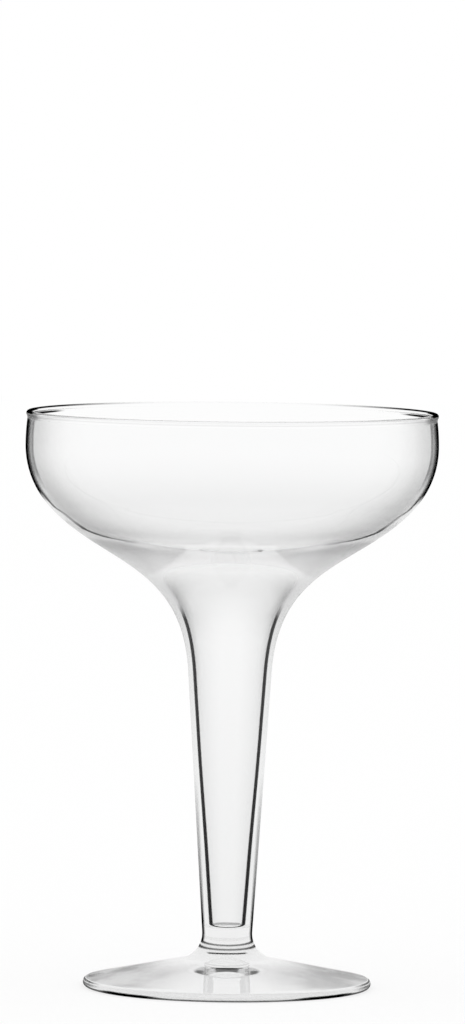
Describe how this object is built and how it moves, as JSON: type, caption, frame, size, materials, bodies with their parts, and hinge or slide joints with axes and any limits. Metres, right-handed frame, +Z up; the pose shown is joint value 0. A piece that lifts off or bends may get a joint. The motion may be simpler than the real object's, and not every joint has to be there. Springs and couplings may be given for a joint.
{
  "type": "coupe glass",
  "caption": "Clear coupe glass with a wide saucer bowl that opens into a hollow tapered stem, on a low-crowned round foot.",
  "frame": {"origin": "middle of the plane that the foot stands on", "axes": "+Z up along the glass's own axis of revolution, from the foot to the rim; +X and +Y alike"},
  "size_m": [0.1002, 0.1002, 0.14],
  "materials": {
    "bowl_glass": "clear colourless glass, fire-polished lip",
    "stem_glass": "clear colourless glass, drawn smooth",
    "foot_glass": "clear colourless glass, fire-polished edge"
  },
  "bodies": {
    "root": {"bowl": "bowl_glass", "hollow_stem": "stem_glass", "foot": "foot_glass"}
  },
  "joints": []
}
